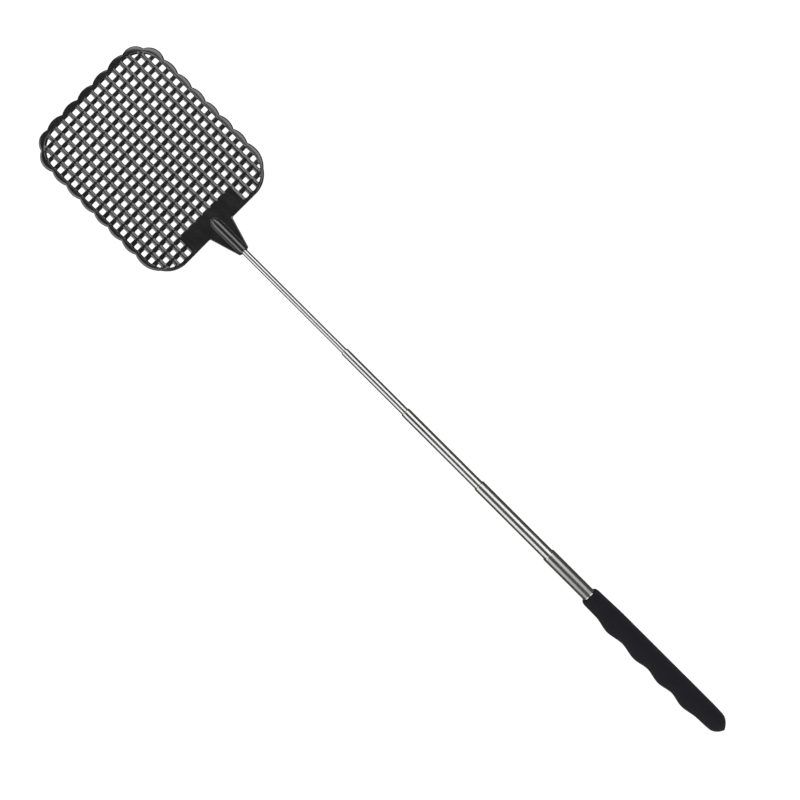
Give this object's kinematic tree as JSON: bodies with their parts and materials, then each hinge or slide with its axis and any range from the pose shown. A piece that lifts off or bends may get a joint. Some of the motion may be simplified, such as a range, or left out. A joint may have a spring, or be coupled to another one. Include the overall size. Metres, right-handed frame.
{
  "type": "fly swatter",
  "caption": "Telescopic fly swatter: black moulded mesh head with a scalloped rim on a polished steel rod whose sections slide and turn, with a foam finger grip.",
  "frame": {"origin": "on the surface that the grip rests on, under the middle of the object's length at rest", "axes": "+Y along the rod from the grip to the head, +Z out of the head's front face, +X across the head"},
  "size_m": [0.101, 0.5605, 0.0138],
  "materials": {
    "head_plastic": "satin moulded plastic",
    "stainless_tube": "polished drawn tube",
    "brass_bush": "turned",
    "spring_bronze": "rolled strip",
    "plug_plastic": "moulded",
    "grip_foam": "matte closed-cell foam"
  },
  "bodies": {
    "handle": {"grip": "grip_foam", "tube_1": "stainless_tube", "end_plug": "plug_plastic"},
    "spring_2": {"friction_spring_2_left": "spring_bronze", "friction_spring_2_right": "spring_bronze"},
    "section_2": {"tube_2": "stainless_tube", "stop_bush_2": "brass_bush"},
    "spring_3": {"friction_spring_3_left": "spring_bronze", "friction_spring_3_right": "spring_bronze"},
    "section_3": {"tube_3": "stainless_tube", "stop_bush_3": "brass_bush"},
    "spring_4": {"friction_spring_4_left": "spring_bronze", "friction_spring_4_right": "spring_bronze"},
    "section_4": {"tube_4": "stainless_tube", "stop_bush_4": "brass_bush"},
    "spring_5": {"friction_spring_5_left": "spring_bronze", "friction_spring_5_right": "spring_bronze"},
    "section_5": {"tube_5": "stainless_tube", "stop_bush_5": "brass_bush", "swatter_head": "head_plastic"}
  },
  "joints": [
    {"name": "slide_2", "type": "slide", "parent": "handle", "child": "spring_2", "axis": [0, 1, 0], "range_m": [-0.0567, 0.0703]},
    {"name": "swivel_2", "type": "hinge", "parent": "spring_2", "child": "section_2", "pos_m": [0, 0, 0.0069], "axis": [0, 1, 0], "continuous": true},
    {"name": "slide_3", "type": "slide", "parent": "section_2", "child": "spring_3", "axis": [0, 1, 0], "range_m": [-0.0603, 0.0707]},
    {"name": "swivel_3", "type": "hinge", "parent": "spring_3", "child": "section_3", "pos_m": [0, 0, 0.0069], "axis": [0, 1, 0], "continuous": true},
    {"name": "slide_4", "type": "slide", "parent": "section_3", "child": "spring_4", "axis": [0, 1, 0], "range_m": [-0.0492, 0.0858]},
    {"name": "swivel_4", "type": "hinge", "parent": "spring_4", "child": "section_4", "pos_m": [0, 0, 0.0069], "axis": [0, 1, 0], "continuous": true},
    {"name": "slide_5", "type": "slide", "parent": "section_4", "child": "spring_5", "axis": [0, 1, 0], "range_m": [-0.0834, 0.0556]},
    {"name": "swivel_5", "type": "hinge", "parent": "spring_5", "child": "section_5", "pos_m": [0, 0, 0.0069], "axis": [0, 1, 0], "continuous": true}
  ]
}
